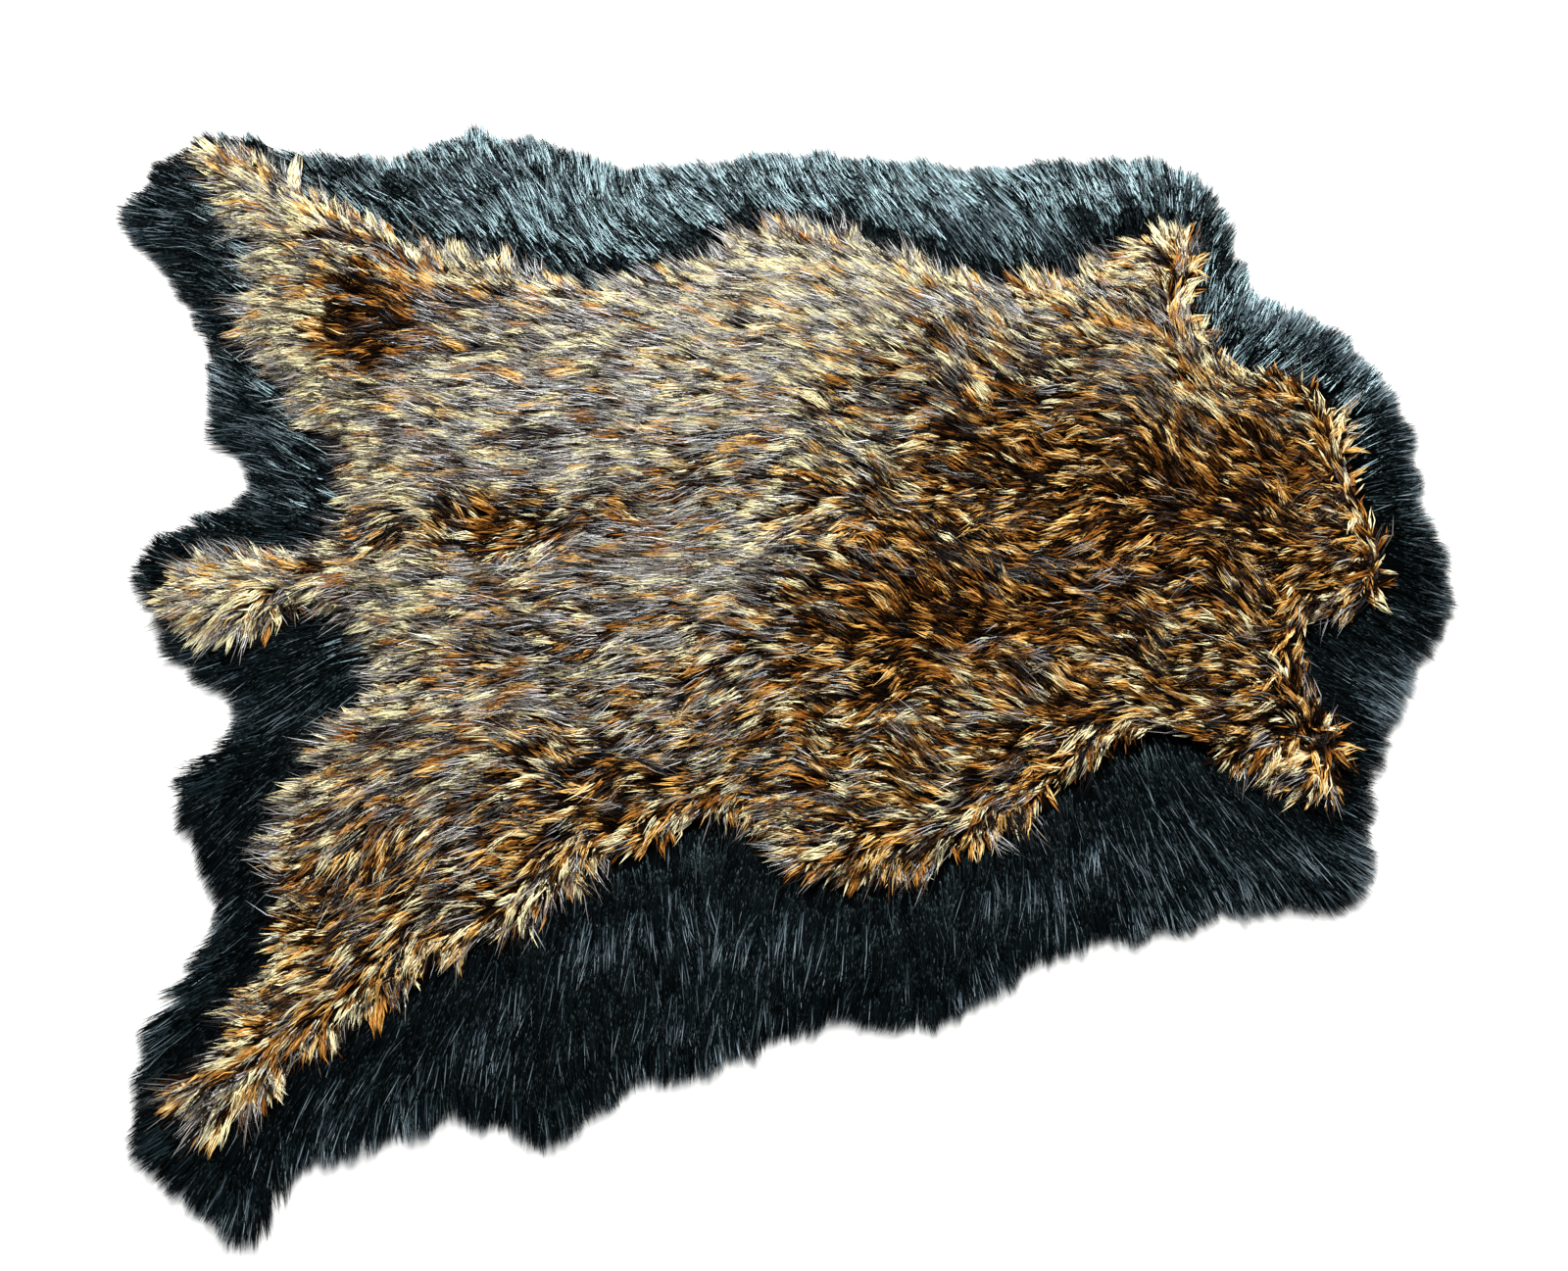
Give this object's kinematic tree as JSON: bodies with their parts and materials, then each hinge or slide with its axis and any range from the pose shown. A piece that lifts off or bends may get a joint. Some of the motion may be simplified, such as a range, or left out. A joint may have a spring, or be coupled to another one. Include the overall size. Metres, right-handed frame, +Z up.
{
  "type": "deerhide rug",
  "caption": "Flat floor rug of long-pile faux fur in the shape of a deer hide: a brindled pelt with legs and tail laid on a larger black shag hide.",
  "frame": {"origin": "on the floor, under the middle of the rug's bounding box", "axes": "+X from the tail to the neck, +Y from the near legs to the far legs, +Z up from the floor"},
  "size_m": [1.523, 1.3312, 0.04],
  "materials": {
    "black_fur": "long pile, softly glossy",
    "brindled_fur": "long pile, brindled cream, tan, brown and grey"
  },
  "bodies": {
    "root": {"base": "black_fur", "pelt": "brindled_fur"}
  },
  "joints": []
}
